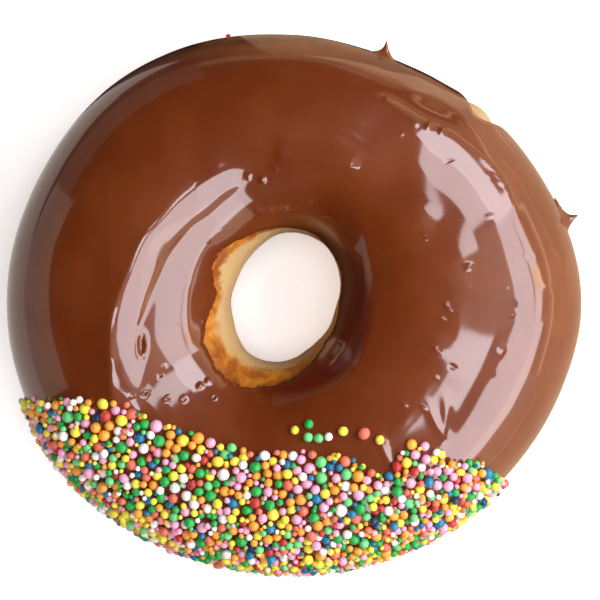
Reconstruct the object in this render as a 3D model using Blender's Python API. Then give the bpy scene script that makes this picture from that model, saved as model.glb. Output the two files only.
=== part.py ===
"""A ring doughnut with a coat of chocolate icing, its near side dipped in hundreds and thousands.

Metres, +Z up. The doughnut stands on its flat foot at z = 0, with the middle of its outline on the origin.
Two solids: the fried dough ring, and the icing, a wavy-edged skin over its upper half with the largest of
the sugar balls and two pulled peaks fused to it.

A place on the ring has two angles. theta runs round the ring, anticlockwise from +X. phi runs round the
ring's cross-section: 0 at the outer equator, a quarter turn at the crest, half a turn at the hole's waist.
"""

import math
import random

import bmesh
import bpy
import numpy as np
from mathutils import Matrix, Vector

MM = 0.001
TURN = 2 * math.pi

# The iced rim seen from above: its distance from the ring's centre every 30 degrees.
OUTLINE_REACH = np.array((46.2, 44.7, 42.6, 43.1, 45.2, 45.5, 46.2, 45.5, 43.6, 42.7, 43.4, 44.9)) * MM
# The ring's centre, set so that the middle of the whole outline, balls included, is on the origin.
RING_CENTRE = np.array((-0.14, 0.38)) * MM

# The hole's waist is an ellipse, a little off the ring's centre.
HOLE_CENTRE = np.array((-1.37, 0.89)) * MM
HOLE_LONG_RADIUS = 10.8 * MM
HOLE_SHORT_RADIUS = 8.4 * MM
HOLE_TURN = math.radians(68)

# The dough's cross-section, an oval with full shoulders and a flat foot. The crest's height is given every
# 30 degrees.
EQUATOR_HEIGHT = 13.2 * MM
CREST_HEIGHT = np.array((28.2, 27.6, 27.9, 28.4, 28.0, 28.3, 28.6, 28.2, 27.7, 27.9, 28.3, 28.0)) * MM
BELLY_DEPTH = 15.2 * MM
FOOT_START = math.radians(240)
FOOT_END = math.radians(300)
SHOULDER_POWER = 2.35
INNER_HOLLOWING = 0.65
CREST_LEAN = 2.8 * MM
LUMP_HEIGHT = 0.22 * MM
BULGE_ANGLE = math.radians(46)
BULGE_SPREAD = math.radians(5)
BULGE_RISE = math.radians(8)
BULGE_TALLNESS = math.radians(26)
BULGE_HEIGHT = 1.3 * MM

# The icing.
ICING_GAP = 0.3 * MM
ICING_THICKNESS = 1.25 * MM
ICING_AT_RIM = 0.85 * MM
ICING_LIP = 0.35 * MM
LIP_WIDTH = 1.4 * MM
LIP_SHARES = (0, 0.012, 0.032)
EVEN_SHARES = (0.08, 0.92)
# Where the icing ends, every 30 degrees: outside, in degrees of phi; inside, as its distance from the
# hole's waist, seen from above.
OUTER_EDGE = np.radians((-9, -5, 1, 7, -2, -8, -11, -12, -9, -7, -10, -7))
INNER_EDGE = np.array((1.6, 1.5, 1.1, 1.3, 2.4, 3.7, 2.4, 4.3, 4.6, 3.5, 2.1, 2.0)) * MM
OUTER_WAVE = math.radians(2.2)
NOTCH_RISE = math.radians(30)
NOTCH_SPREAD = math.radians(6.5)

# The sugar balls lie below this edge, seen from above and measured from the ring's centre.
DIPPED_EDGE_ACROSS = MM * np.array(
    (-48, -42, -31.7, -26.6, -20, -12.3, -5, 3.3, 8, 14.2, 16.1, 19, 25.3, 29.2, 34, 48)
)
DIPPED_EDGE_DOWN = MM * np.array(
    (15.6, 15.1, 14.5, 15.2, 18.9, 21.4, 23.3, 22.8, 23.6, 27, 23.7, 20.9, 24.7, 24.8, 28.5, 33)
)
DIPPED_FROM = math.radians(195)
DIPPED_TO = math.radians(330)
DIPPED_SHARES = (0.03, 0.75)
LARGE_BALLS = 196
LARGEST_BALL_RADIUS = 1.06 * MM
SMALLEST_LARGE_RADIUS = 0.74 * MM
# Balls that lie by themselves beyond that edge: ring angle, share of the way in, and radius.
STRAY_BALLS = (
    (math.radians(273.0), 0.768, 0.72 * MM),
    (math.radians(279.5), 0.772, 0.76 * MM),
    (math.radians(278.2), 0.731, 0.80 * MM),
    (math.radians(282.2), 0.716, 0.78 * MM),
    (math.radians(286.2), 0.703, 0.70 * MM),
    (math.radians(292.5), 0.682, 0.78 * MM),
    (math.radians(299.2), 0.633, 1.00 * MM),
    (math.radians(302.8), 0.590, 0.74 * MM),
)
BALL_SPACING = 1.12
BALL_LIFT = 0.42
BALL_FACETS_SWELL = 1.08
BALL_SEED = 11
MOST_ROOM = 750 * MM * MM

# The peaks pulled out of the soft icing: ring angle, section angle, and how far the tip leans to its left.
PEAKS = (
    (math.radians(70.0), math.radians(16), 0.6 * MM),
    (math.radians(16.8), math.radians(8), 0.4 * MM),
)
# A peak's outline: height above the icing, and radius there. The last pair is the tip.
PEAK_OUTLINE = ((-0.6 * MM, 1.9 * MM), (0.35 * MM, 1.1 * MM), (1.1 * MM, 0.5 * MM), (2.3 * MM, 0.0))
PEAK_SIDES = 8

# Mesh steps.
RING_STEPS = 68
COVERED_STEPS = 8
SIDE_STEPS = 4
FOOT_STEPS = 2
EVEN_ROWS = 11
SLOPE_STEP = 0.001
HALVINGS = 30


def clear_scene():
    for item in list(bpy.data.objects):
        bpy.data.objects.remove(item)


def material(name, colour, roughness):
    made = bpy.data.materials.new(name)
    made.use_nodes = True
    shader = made.node_tree.nodes["Principled BSDF"]
    shader.inputs["Base Color"].default_value = (*colour, 1)
    shader.inputs["Roughness"].default_value = roughness
    shader.inputs["Metallic"].default_value = 0
    return made


def around(values, theta):
    """A smooth closed curve through values set at equal steps round the ring."""
    place = np.mod(theta, TURN) / TURN * len(values)
    step = np.floor(place).astype(int)
    t = place - step
    a, b, c, d = (values[(step + k) % len(values)] for k in (-1, 0, 1, 2))
    return b + 0.5 * t * (c - a + t * (2 * a - 5 * b + 4 * c - d + t * (3 * (b - c) + d - a)))


def hole_reach(theta):
    """The waist's distance from the hole's centre."""
    turned = theta - HOLE_TURN
    return HOLE_LONG_RADIUS * HOLE_SHORT_RADIUS / np.hypot(
        HOLE_SHORT_RADIUS * np.cos(turned), HOLE_LONG_RADIUS * np.sin(turned)
    )


def ring_frame(theta):
    """The section's centre, its outward direction from above, and its half width."""
    away = np.stack([np.cos(theta), np.sin(theta)], axis=-1)
    waist = HOLE_CENTRE + away * hole_reach(theta)[..., None]
    rim = away * (around(OUTLINE_REACH, theta) - ICING_GAP - ICING_AT_RIM)[..., None]
    width = np.linalg.norm(rim - waist, axis=-1)
    return RING_CENTRE + (rim + waist) / 2, (rim - waist) / width[..., None], width / 2


def oval(theta, phi):
    """How far an oval with full shoulders reaches in the direction phi. It falls away to the hole at -X."""
    hollowing = INNER_HOLLOWING * (0.5 - 0.5 * np.cos(theta))
    power = SHOULDER_POWER - np.where((np.cos(phi) < 0) & (np.sin(phi) > 0), hollowing, 0)
    return (np.abs(np.cos(phi)) ** power + np.abs(np.sin(phi)) ** power) ** (-1 / power)


def lumps(theta, phi):
    """The dough's slow unevenness, from -1 to 1."""
    return (
        np.sin(3 * theta + 1.1) * np.sin(phi + 0.4)
        + 0.7 * np.sin(5 * theta - 2 * phi + 2.0)
        + 0.5 * np.sin(8 * theta + 3 * phi + 0.7)
    ) / 2.2


def bulge(theta, phi):
    """The swelling of the dough that pushes out of the icing."""
    off_ring = np.mod(theta - BULGE_ANGLE + math.pi, TURN) - math.pi
    off_section = np.mod(phi + math.pi, TURN) - math.pi - BULGE_RISE
    return BULGE_HEIGHT * np.exp(-((off_ring / BULGE_SPREAD) ** 2) - (off_section / BULGE_TALLNESS) ** 2)


def section(theta, phi, half_width):
    """The dough's skin in the section: how far outwards from the section's centre, and how high."""
    reach = oval(theta, phi) * (1 + LUMP_HEIGHT / EQUATOR_HEIGHT * lumps(theta, phi))
    rise = np.sin(phi) * reach
    crest = around(CREST_HEIGHT, theta) - EQUATOR_HEIGHT
    height = EQUATOR_HEIGHT + rise * np.where(rise > 0, crest, BELLY_DEPTH)
    lean = CREST_LEAN * np.cos(theta) * np.maximum(rise, 0) ** 2
    across = np.cos(phi) * reach * half_width - lean + bulge(theta, phi)
    return across, np.maximum(height, 0)


def skin(theta, phi, lift=0.0):
    """Points on the dough's skin, or lift above it, square to the skin in the section."""
    theta, phi = np.broadcast_arrays(np.asarray(theta, float), np.asarray(phi, float))
    centre, outward, half_width = ring_frame(theta)
    across, up = section(theta, phi, half_width)
    before = section(theta, phi - SLOPE_STEP, half_width)
    after = section(theta, phi + SLOPE_STEP, half_width)
    slope = np.stack([after[0] - before[0], after[1] - before[1]])
    slope = slope / np.hypot(*slope)
    across = across + lift * slope[1]
    up = up - lift * slope[0]
    flat = centre + outward * across[..., None]
    return np.concatenate([flat, up[..., None]], axis=-1)


def outer_edge(theta):
    """phi where the icing ends on the outside: wavy, with a notch over the bulge."""
    off_bulge = np.mod(theta - BULGE_ANGLE + math.pi, TURN) - math.pi
    notch = NOTCH_RISE * np.exp(-((off_bulge / NOTCH_SPREAD) ** 2))
    wave = OUTER_WAVE * (np.sin(11 * theta + 0.6) + 0.6 * np.sin(17 * theta + 2.1))
    return around(OUTER_EDGE, theta) + wave + notch


def inner_edge(theta):
    """phi where the icing ends in the hole, found from its distance to the waist by halving."""
    half_width = ring_frame(theta)[2]
    wanted = 1 - around(INNER_EDGE, theta) / half_width
    low = np.full(np.shape(theta), math.pi / 2)
    high = np.full(np.shape(theta), math.pi)
    for _ in range(HALVINGS):
        middle = (low + high) / 2
        short = -np.cos(middle) * oval(theta, middle) < wanted
        low = np.where(short, middle, low)
        high = np.where(short, high, middle)
    return (low + high) / 2


def icing_lift(theta, phi):
    """How far the icing's top stands above the dough: a round lip at both edges, thinner down the side."""
    outer, inner = outer_edge(theta), inner_edge(theta)
    thick = ICING_AT_RIM + (ICING_THICKNESS - ICING_AT_RIM) * np.clip(np.sin(phi), 0, 1)
    from_edge = np.minimum(phi - outer, inner - phi) * EQUATOR_HEIGHT / LIP_WIDTH
    roundness = np.sqrt(1 - (1 - np.clip(from_edge, 0, 1)) ** 2)
    return ICING_GAP + ICING_LIP + (thick - ICING_LIP) * roundness


def ring_mesh(name, rings, finish):
    """A closed tube from rings[k][i]: ring k of the section, point i round the doughnut."""
    mesh = bmesh.new()
    verts = [[mesh.verts.new(point) for point in ring] for ring in rings]
    for k, ring in enumerate(verts):
        after = verts[(k + 1) % len(verts)]
        for i in range(len(ring)):
            j = (i + 1) % len(ring)
            mesh.faces.new((ring[i], ring[j], after[j], after[i]))
    bmesh.ops.triangulate(mesh, faces=mesh.faces, quad_method="SHORT_EDGE")
    bmesh.ops.recalc_face_normals(mesh, faces=mesh.faces)
    data = bpy.data.meshes.new(name)
    mesh.to_mesh(data)
    mesh.free()
    data.materials.append(finish)
    data.shade_smooth()
    made = bpy.data.objects.new(name, data)
    bpy.context.scene.collection.objects.link(made)
    return made


def covered(theta, share):
    """phi at a share of the way from the icing's outer edge to its inner edge."""
    outer, inner = outer_edge(theta), inner_edge(theta)
    return outer + (inner - outer) * share


def dough_ring(finish):
    """The fried ring. Its rows of points under the icing match the rows of the icing's inner face."""
    theta = np.arange(RING_STEPS) / RING_STEPS * TURN
    stops = [(outer_edge(theta), COVERED_STEPS), (inner_edge(theta), SIDE_STEPS)]
    stops += [(FOOT_START + 0 * theta, FOOT_STEPS), (FOOT_END + 0 * theta, SIDE_STEPS)]
    ends = [stop[0] for stop in stops[1:]] + [outer_edge(theta) + TURN]
    rows = []
    for (start, steps), end in zip(stops, ends):
        rows += [start + (end - start) * k / steps for k in range(steps)]
    return ring_mesh("dough_ring", [skin(theta, row) for row in rows], finish)


def icing_shares():
    """Where the icing's top has its rows: close together at the two lips, even between them."""
    even = np.linspace(*EVEN_SHARES, EVEN_ROWS)
    return [*LIP_SHARES, *even, *(1 - share for share in reversed(LIP_SHARES))]


def icing_skin(finish):
    """The icing without its sugar balls: its top face, then back along its inner face."""
    theta = np.arange(RING_STEPS) / RING_STEPS * TURN
    top = []
    for share in icing_shares():
        phi = covered(theta, share)
        top.append(skin(theta, phi, icing_lift(theta, phi)))
    inside = [
        skin(theta, covered(theta, k / COVERED_STEPS), ICING_GAP)
        for k in range(COVERED_STEPS, -1, -1)
    ]
    return ring_mesh("chocolate_icing", top + inside, finish)


def below_dipped_edge(point):
    """How far a point lies inside the dipped side, from above; negative outside it."""
    x, y = point[:2] - RING_CENTRE
    return -np.interp(x, DIPPED_EDGE_ACROSS, DIPPED_EDGE_DOWN) - y


def room_at(theta, phi):
    """The skin's area for each unit of theta and phi, so that balls fall evenly on it."""
    corner = skin(theta, phi)
    along = skin(theta + SLOPE_STEP, phi) - corner
    over = skin(theta, phi + SLOPE_STEP) - corner
    return np.linalg.norm(np.cross(along, over)) / SLOPE_STEP**2


def ball_middle(theta, phi, radius):
    """The middle of a ball that is sunk into the icing a little."""
    return skin(theta, phi, icing_lift(np.array(theta), phi) + BALL_LIFT * radius)


def ball_places(count):
    """Seeded places of the sugar balls, the largest first and none touching: (theta, phi, radius)."""
    draw = random.Random(BALL_SEED)
    places = [(theta, float(covered(np.array(theta), share)), radius) for theta, share, radius in STRAY_BALLS]
    middles = np.array([ball_middle(*place) for place in places])
    radii = np.array([place[2] for place in places])
    while len(places) < count:
        smallness = 1 - (1 - len(places) / count) ** 2
        radius = LARGEST_BALL_RADIUS + (SMALLEST_LARGE_RADIUS - LARGEST_BALL_RADIUS) * smallness
        theta = draw.uniform(DIPPED_FROM, DIPPED_TO)
        share = draw.uniform(*DIPPED_SHARES)
        keep = draw.random()
        phi = float(covered(np.array(theta), share))
        middle = ball_middle(theta, phi, radius)
        if keep > room_at(theta, phi) / MOST_ROOM or below_dipped_edge(middle) < radius:
            continue
        apart = np.linalg.norm(middles - middle, axis=1)
        if (apart < BALL_SPACING * (radii + radius)).any():
            continue
        places.append((theta, phi, radius))
        middles, radii = np.vstack([middles, middle]), np.append(radii, radius)
    return places


def add_to(collection, name, mesh):
    data = bpy.data.meshes.new(name)
    mesh.to_mesh(data)
    mesh.free()
    collection.objects.link(bpy.data.objects.new(name, data))


def sugar_balls(collection):
    turn = random.Random(BALL_SEED + 1)
    for number, (theta, phi, radius) in enumerate(ball_places(LARGE_BALLS)):
        place = Matrix.Translation(Vector(ball_middle(theta, phi, radius)))
        axis = Vector((1, turn.uniform(-1, 1), turn.uniform(-1, 1)))
        place @= Matrix.Rotation(turn.uniform(0, TURN), 4, axis)
        ball = bmesh.new()
        bmesh.ops.create_icosphere(ball, subdivisions=1, radius=radius * BALL_FACETS_SWELL, matrix=place)
        add_to(collection, f"ball_{number}", ball)


def pulled_peaks(collection):
    """Thorns with hollow flanks and a leaning tip, that stand out of the icing's side."""
    for number, (theta, phi, lean) in enumerate(PEAKS):
        lift = icing_lift(np.array(theta), phi)
        foot = Vector(skin(theta, phi, lift))
        out = (foot - Vector(skin(theta, phi))).normalized()
        side = Vector((0, 0, 1)).cross(out).normalized()
        up = out.cross(side)
        peak = bmesh.new()
        rings = []
        tip_height = PEAK_OUTLINE[-1][0]
        for height, radius in PEAK_OUTLINE[:-1]:
            middle = foot + out * height + side * lean * max(height / tip_height, 0)
            angles = [k / PEAK_SIDES * TURN for k in range(PEAK_SIDES)]
            rings.append(
                [peak.verts.new(middle + radius * (side * math.cos(a) + up * math.sin(a))) for a in angles]
            )
        tip = peak.verts.new(foot + out * tip_height + side * lean)
        for k in range(PEAK_SIDES):
            after = (k + 1) % PEAK_SIDES
            for low, high in zip(rings, rings[1:]):
                peak.faces.new((low[k], low[after], high[after], high[k]))
            peak.faces.new((rings[-1][k], rings[-1][after], tip))
        peak.faces.new(list(reversed(rings[0])))
        bmesh.ops.recalc_face_normals(peak, faces=peak.faces)
        add_to(collection, f"peak_{number}", peak)


def fuse(base, collection):
    """One union of the base with all that the collection holds, which is then removed."""
    join = base.modifiers.new("fuse", "BOOLEAN")
    join.operand_type = "COLLECTION"
    join.operation = "UNION"
    join.solver = "EXACT"
    join.collection = collection
    bpy.context.view_layer.update()
    evaluated = base.evaluated_get(bpy.context.evaluated_depsgraph_get())
    fused = bpy.data.meshes.new_from_object(evaluated)
    base.modifiers.clear()
    base.data = fused
    for item in list(collection.objects):
        bpy.data.objects.remove(item)
    bpy.data.collections.remove(collection)


def main():
    clear_scene()
    crust = material("fried crust", (0.66, 0.36, 0.12), 0.7)
    chocolate = material("chocolate icing", (0.155, 0.036, 0.008), 0.22)
    dough_ring(crust)
    icing = icing_skin(chocolate)
    toppings = bpy.data.collections.new("toppings")
    bpy.context.scene.collection.children.link(toppings)
    sugar_balls(toppings)
    pulled_peaks(toppings)
    fuse(icing, toppings)


main()
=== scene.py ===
"""The looks of a ring doughnut in chocolate icing, its near side dipped in hundreds and thousands.

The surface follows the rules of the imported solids. theta runs round the ring, anticlockwise from +X. phi runs
round its cross-section: 0 at the outer equator, a quarter turn at the crest, half a turn at the hole's waist.
Places marked SEEN are as the camera sees them from above: at the level of the rim, from the ring's centre.
"""

import itertools
import math
import random

import bmesh
import bpy
import numpy as np
from mathutils import Matrix, Vector


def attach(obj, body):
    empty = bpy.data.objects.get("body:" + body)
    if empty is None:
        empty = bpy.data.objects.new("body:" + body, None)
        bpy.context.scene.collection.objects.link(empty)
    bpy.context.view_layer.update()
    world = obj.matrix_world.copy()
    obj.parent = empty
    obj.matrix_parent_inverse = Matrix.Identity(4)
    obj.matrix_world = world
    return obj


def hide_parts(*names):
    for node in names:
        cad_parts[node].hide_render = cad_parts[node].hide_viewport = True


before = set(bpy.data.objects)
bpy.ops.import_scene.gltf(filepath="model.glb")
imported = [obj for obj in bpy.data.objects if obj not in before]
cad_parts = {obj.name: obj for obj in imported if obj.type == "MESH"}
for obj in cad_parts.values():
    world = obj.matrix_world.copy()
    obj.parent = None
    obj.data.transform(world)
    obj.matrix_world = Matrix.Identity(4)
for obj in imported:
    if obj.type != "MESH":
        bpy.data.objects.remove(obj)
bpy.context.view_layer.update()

MM = 0.001
TURN = 2 * math.pi

# The ring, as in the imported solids.
OUTLINE_REACH = np.array((46.2, 44.7, 42.6, 43.1, 45.2, 45.5, 46.2, 45.5, 43.6, 42.7, 43.4, 44.9)) * MM
RING_CENTRE = np.array((-0.14, 0.38)) * MM
HOLE_CENTRE = np.array((-1.37, 0.89)) * MM
HOLE_LONG_RADIUS = 10.8 * MM
HOLE_SHORT_RADIUS = 8.4 * MM
HOLE_TURN = math.radians(68)
EQUATOR_HEIGHT = 13.2 * MM
CREST_HEIGHT = np.array((28.2, 27.6, 27.9, 28.4, 28.0, 28.3, 28.6, 28.2, 27.7, 27.9, 28.3, 28.0)) * MM
BELLY_DEPTH = 15.2 * MM
SHOULDER_POWER = 2.35
INNER_HOLLOWING = 0.65
CREST_LEAN = 2.8 * MM
LUMP_HEIGHT = 0.22 * MM
BULGE_ANGLE = math.radians(46)
BULGE_SPREAD = math.radians(5)
BULGE_RISE = math.radians(8)
BULGE_TALLNESS = math.radians(26)
BULGE_HEIGHT = 1.3 * MM
ICING_GAP = 0.3 * MM
ICING_THICKNESS = 1.25 * MM
ICING_AT_RIM = 0.85 * MM
ICING_LIP = 0.35 * MM
LIP_WIDTH = 1.4 * MM
OUTER_EDGE = np.radians((-9, -5, 1, 7, -2, -8, -11, -12, -9, -7, -10, -7))
INNER_EDGE = np.array((1.6, 1.5, 1.1, 1.3, 2.4, 3.7, 2.4, 4.3, 4.6, 3.5, 2.1, 2.0)) * MM
OUTER_WAVE = math.radians(2.2)
NOTCH_RISE = math.radians(30)
NOTCH_SPREAD = math.radians(6.5)
SLOPE_STEP = 0.001
HALVINGS = 30

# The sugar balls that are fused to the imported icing, and the room for the rest.
DIPPED_EDGE_ACROSS = MM * np.array(
    (-48, -42, -31.7, -26.6, -20, -12.3, -5, 3.3, 8, 14.2, 16.1, 19, 25.3, 29.2, 34, 48)
)
DIPPED_EDGE_DOWN = MM * np.array(
    (15.6, 15.1, 14.5, 15.2, 18.9, 21.4, 23.3, 22.8, 23.6, 27, 23.7, 20.9, 24.7, 24.8, 28.5, 33)
)
DIPPED_FROM = math.radians(195)
DIPPED_TO = math.radians(330)
DIPPED_SHARES = (0.03, 0.75)
LARGE_BALLS = 196
LARGEST_BALL_RADIUS = 1.06 * MM
SMALLEST_LARGE_RADIUS = 0.74 * MM
# Balls that lie by themselves beyond that edge: ring angle, share of the way in, and radius.
STRAY_BALLS = (
    (math.radians(273.0), 0.768, 0.72 * MM),
    (math.radians(279.5), 0.772, 0.76 * MM),
    (math.radians(278.2), 0.731, 0.80 * MM),
    (math.radians(282.2), 0.716, 0.78 * MM),
    (math.radians(286.2), 0.703, 0.70 * MM),
    (math.radians(292.5), 0.682, 0.78 * MM),
    (math.radians(299.2), 0.633, 1.00 * MM),
    (math.radians(302.8), 0.590, 0.74 * MM),
)
BALL_SPACING = 1.12
BALL_LIFT = 0.42
BALL_SEED = 11
MOST_ROOM = 750 * MM * MM

# The camera looks straight down, and fills the photograph's frame as the photograph does.
EYE_HEIGHT = 420 * MM
EYE_OVER = np.array((0.83, 0.78)) * MM
RIM_LEVEL = 16 * MM
FRAME_WIDTH_AT_RIM = 96.6 * MM
SENSOR_WIDTH_MM = 36


def put(name, data):
    """A new object in the scene, of this mesh, light or camera."""
    made = bpy.data.objects.new(name, data)
    bpy.context.scene.collection.objects.link(made)
    return made


def rounded(a, b, c, d, t):
    """The place at t, from 0 to 1, between b and c, on a smooth curve through a, b, c and d."""
    return b + 0.5 * t * (c - a + t * (2 * a - 5 * b + 4 * c - d + t * (3 * (b - c) + d - a)))


def around(values, theta):
    """A smooth closed curve through values set at equal steps round the ring."""
    place = np.mod(theta, TURN) / TURN * len(values)
    step = np.floor(place).astype(int)
    return rounded(*(values[(step + k) % len(values)] for k in (-1, 0, 1, 2)), place - step)


def hole_reach(theta):
    """The waist's distance from the hole's centre."""
    turned = theta - HOLE_TURN
    return HOLE_LONG_RADIUS * HOLE_SHORT_RADIUS / np.hypot(
        HOLE_SHORT_RADIUS * np.cos(turned), HOLE_LONG_RADIUS * np.sin(turned)
    )


def ring_frame(theta):
    """The section's centre, its outward direction from above, and its half width."""
    away = np.stack([np.cos(theta), np.sin(theta)], axis=-1)
    waist = HOLE_CENTRE + away * hole_reach(theta)[..., None]
    rim = away * (around(OUTLINE_REACH, theta) - ICING_GAP - ICING_AT_RIM)[..., None]
    width = np.linalg.norm(rim - waist, axis=-1)
    return RING_CENTRE + (rim + waist) / 2, (rim - waist) / width[..., None], width / 2


def oval(theta, phi):
    """How far an oval with full shoulders reaches in the direction phi. It falls away to the hole at -X."""
    hollowing = INNER_HOLLOWING * (0.5 - 0.5 * np.cos(theta))
    power = SHOULDER_POWER - np.where((np.cos(phi) < 0) & (np.sin(phi) > 0), hollowing, 0)
    return (np.abs(np.cos(phi)) ** power + np.abs(np.sin(phi)) ** power) ** (-1 / power)


def lumps(theta, phi):
    """The dough's slow unevenness, from -1 to 1."""
    return (
        np.sin(3 * theta + 1.1) * np.sin(phi + 0.4)
        + 0.7 * np.sin(5 * theta - 2 * phi + 2.0)
        + 0.5 * np.sin(8 * theta + 3 * phi + 0.7)
    ) / 2.2


def bulge(theta, phi):
    """The swelling of the dough that pushes out of the icing."""
    off_ring = np.mod(theta - BULGE_ANGLE + math.pi, TURN) - math.pi
    off_section = np.mod(phi + math.pi, TURN) - math.pi - BULGE_RISE
    return BULGE_HEIGHT * np.exp(-((off_ring / BULGE_SPREAD) ** 2) - (off_section / BULGE_TALLNESS) ** 2)


def section(theta, phi, half_width):
    """The dough's skin in the section: how far outwards from the section's centre, and how high."""
    reach = oval(theta, phi) * (1 + LUMP_HEIGHT / EQUATOR_HEIGHT * lumps(theta, phi))
    rise = np.sin(phi) * reach
    crest = around(CREST_HEIGHT, theta) - EQUATOR_HEIGHT
    height = EQUATOR_HEIGHT + rise * np.where(rise > 0, crest, BELLY_DEPTH)
    lean = CREST_LEAN * np.cos(theta) * np.maximum(rise, 0) ** 2
    across = np.cos(phi) * reach * half_width - lean + bulge(theta, phi)
    return across, np.maximum(height, 0)


def skin(theta, phi, lift=0.0):
    """Points on the dough's skin, or lift above it, square to the skin in the section."""
    theta, phi = np.broadcast_arrays(np.asarray(theta, float), np.asarray(phi, float))
    centre, outward, half_width = ring_frame(theta)
    across, up = section(theta, phi, half_width)
    before = section(theta, phi - SLOPE_STEP, half_width)
    after = section(theta, phi + SLOPE_STEP, half_width)
    slope = np.stack([after[0] - before[0], after[1] - before[1]])
    slope = slope / np.hypot(*slope)
    across = across + lift * slope[1]
    up = up - lift * slope[0]
    flat = centre + outward * across[..., None]
    return np.concatenate([flat, up[..., None]], axis=-1)


def outer_edge(theta):
    """phi where the icing ends on the outside: wavy, with a notch over the bulge."""
    off_bulge = np.mod(theta - BULGE_ANGLE + math.pi, TURN) - math.pi
    notch = NOTCH_RISE * np.exp(-((off_bulge / NOTCH_SPREAD) ** 2))
    wave = OUTER_WAVE * (np.sin(11 * theta + 0.6) + 0.6 * np.sin(17 * theta + 2.1))
    return around(OUTER_EDGE, theta) + wave + notch


def inner_edge(theta):
    """phi where the icing ends in the hole, found from its distance to the waist by halving."""
    half_width = ring_frame(theta)[2]
    wanted = 1 - around(INNER_EDGE, theta) / half_width
    low = np.full(np.shape(theta), math.pi / 2)
    high = np.full(np.shape(theta), math.pi)
    for _ in range(HALVINGS):
        middle = (low + high) / 2
        short = -np.cos(middle) * oval(theta, middle) < wanted
        low = np.where(short, middle, low)
        high = np.where(short, high, middle)
    return (low + high) / 2


def icing_thickness(phi):
    """The icing is thinner down the side."""
    return ICING_AT_RIM + (ICING_THICKNESS - ICING_AT_RIM) * np.clip(np.sin(phi), 0, 1)


def icing_lift(theta, phi):
    """How far the icing's top stands above the dough, with a round lip at both edges."""
    outer, inner = outer_edge(theta), inner_edge(theta)
    thick = icing_thickness(phi)
    from_edge = np.minimum(phi - outer, inner - phi) * EQUATOR_HEIGHT / LIP_WIDTH
    roundness = np.sqrt(1 - (1 - np.clip(from_edge, 0, 1)) ** 2)
    return ICING_GAP + ICING_LIP + (thick - ICING_LIP) * roundness


def seen(points):
    """Where the camera sees points from above: at the level of the rim, from the ring's centre."""
    closer = (EYE_HEIGHT - RIM_LEVEL) / (EYE_HEIGHT - points[..., 2:])
    return EYE_OVER + (points[..., :2] - EYE_OVER) * closer - RING_CENTRE


def smooth(low, high, value):
    """0 below low, 1 above high, and a soft step between."""
    t = np.clip((value - low) / (high - low), 0, 1)
    return t * t * (3 - 2 * t)


def lattice_slopes(cells, seed):
    """A direction for each corner of the noise's lattice, always the same for a corner and a seed."""
    mixed = cells[..., 0] * 73856093 ^ cells[..., 1] * 19349663 ^ cells[..., 2] * 83492791 ^ seed * 2654435761
    mixed = (mixed ^ mixed >> 13) * 1274126177 & 0x7FFFFFFF
    turn = (mixed & 0xFFFF) / 0xFFFF * TURN
    height = (mixed >> 16 & 0x7FFF) / 0x7FFF * 2 - 1
    flat = np.sqrt(1 - height**2)
    return np.stack([flat * np.cos(turn), flat * np.sin(turn), height], axis=-1)


def waves(points, size, seed):
    """Smooth random unevenness, about -1 to 1, whose bumps are size wide."""
    cells = np.floor(points / size).astype(np.int64)
    inside = points / size - cells
    ease = inside**3 * (inside * (inside * 6 - 15) + 10)
    total = 0
    for corner in itertools.product((0, 1), repeat=3):
        share = np.prod(np.where(np.array(corner) == 1, ease, 1 - ease), axis=-1)
        total = total + share * ((inside - corner) * lattice_slopes(cells + corner, seed)).sum(axis=-1)
    return total * 1.6


def smooth_line(corners, steps=10):
    """A rounded line through corners given in millimetres."""
    points = np.array(corners) * MM
    ends = np.vstack([2 * points[0] - points[1], points, 2 * points[-1] - points[-2]])
    line = []
    for four in zip(ends, ends[1:], ends[2:], ends[3:]):
        line += [rounded(*four, t) for t in np.arange(steps) / steps]
    return np.array([*line, points[-1]])


def beside(place, corners):
    """Distance from a line, positive on its left, and how far along it the nearest point is, from 0 to 1."""
    line = smooth_line(corners)
    nearest = np.full(place.shape[:-1], np.inf)
    left = np.zeros_like(nearest)
    along = np.zeros_like(nearest)
    for k, (start, end) in enumerate(zip(line, line[1:])):
        step = end - start
        off = place - start
        t = np.clip(off @ step / (step @ step), 0, 1)
        apart = np.linalg.norm(off - t[..., None] * step, axis=-1)
        side = np.sign(step[0] * off[..., 1] - step[1] * off[..., 0])
        closer = apart < nearest
        nearest = np.where(closer, apart, nearest)
        left = np.where(closer, side * apart, left)
        along = np.where(closer, (k + t) / (len(line) - 1), along)
    return left, along


def fading(along, start, end):
    """1 in the middle of a line, fading to 0 at its two ends."""
    return smooth(0, start, along) * smooth(0, end, 1 - along)


def ridge(off, width):
    """A rounded ridge, 1 high."""
    return np.exp(-((off / width) ** 2))


def soft_clip(value, rounding):
    """0 below zero and the value itself above it, with a round turn between."""
    return (value + np.sqrt(value**2 + rounding**2)) / 2


def tent(off, left_width, right_width, rounding=0.35 * MM):
    """A rounded fold, 1 high, that falls away over its own width on each side."""
    width = np.where(off > 0, left_width, right_width)
    return np.exp(-(np.sqrt(off**2 + rounding**2) - rounding) / width)


def dome(place, centre, radius):
    """A round swelling, 1 high, that ends at radius."""
    apart = np.linalg.norm(place - np.array(centre) * MM, axis=-1)
    return np.clip(1 - (apart / radius) ** 2, 0, 1) ** 2


def burst_bubble(place, centre, radius):
    """A round rim with a hollow inside, where a bubble has burst."""
    apart = np.linalg.norm(place - np.array(centre) * MM, axis=-1) / radius
    return np.exp(-(((apart - 1) / 0.38) ** 2)) - 1.3 * np.clip(1 - (apart / 0.85) ** 2, 0, 1)


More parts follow.
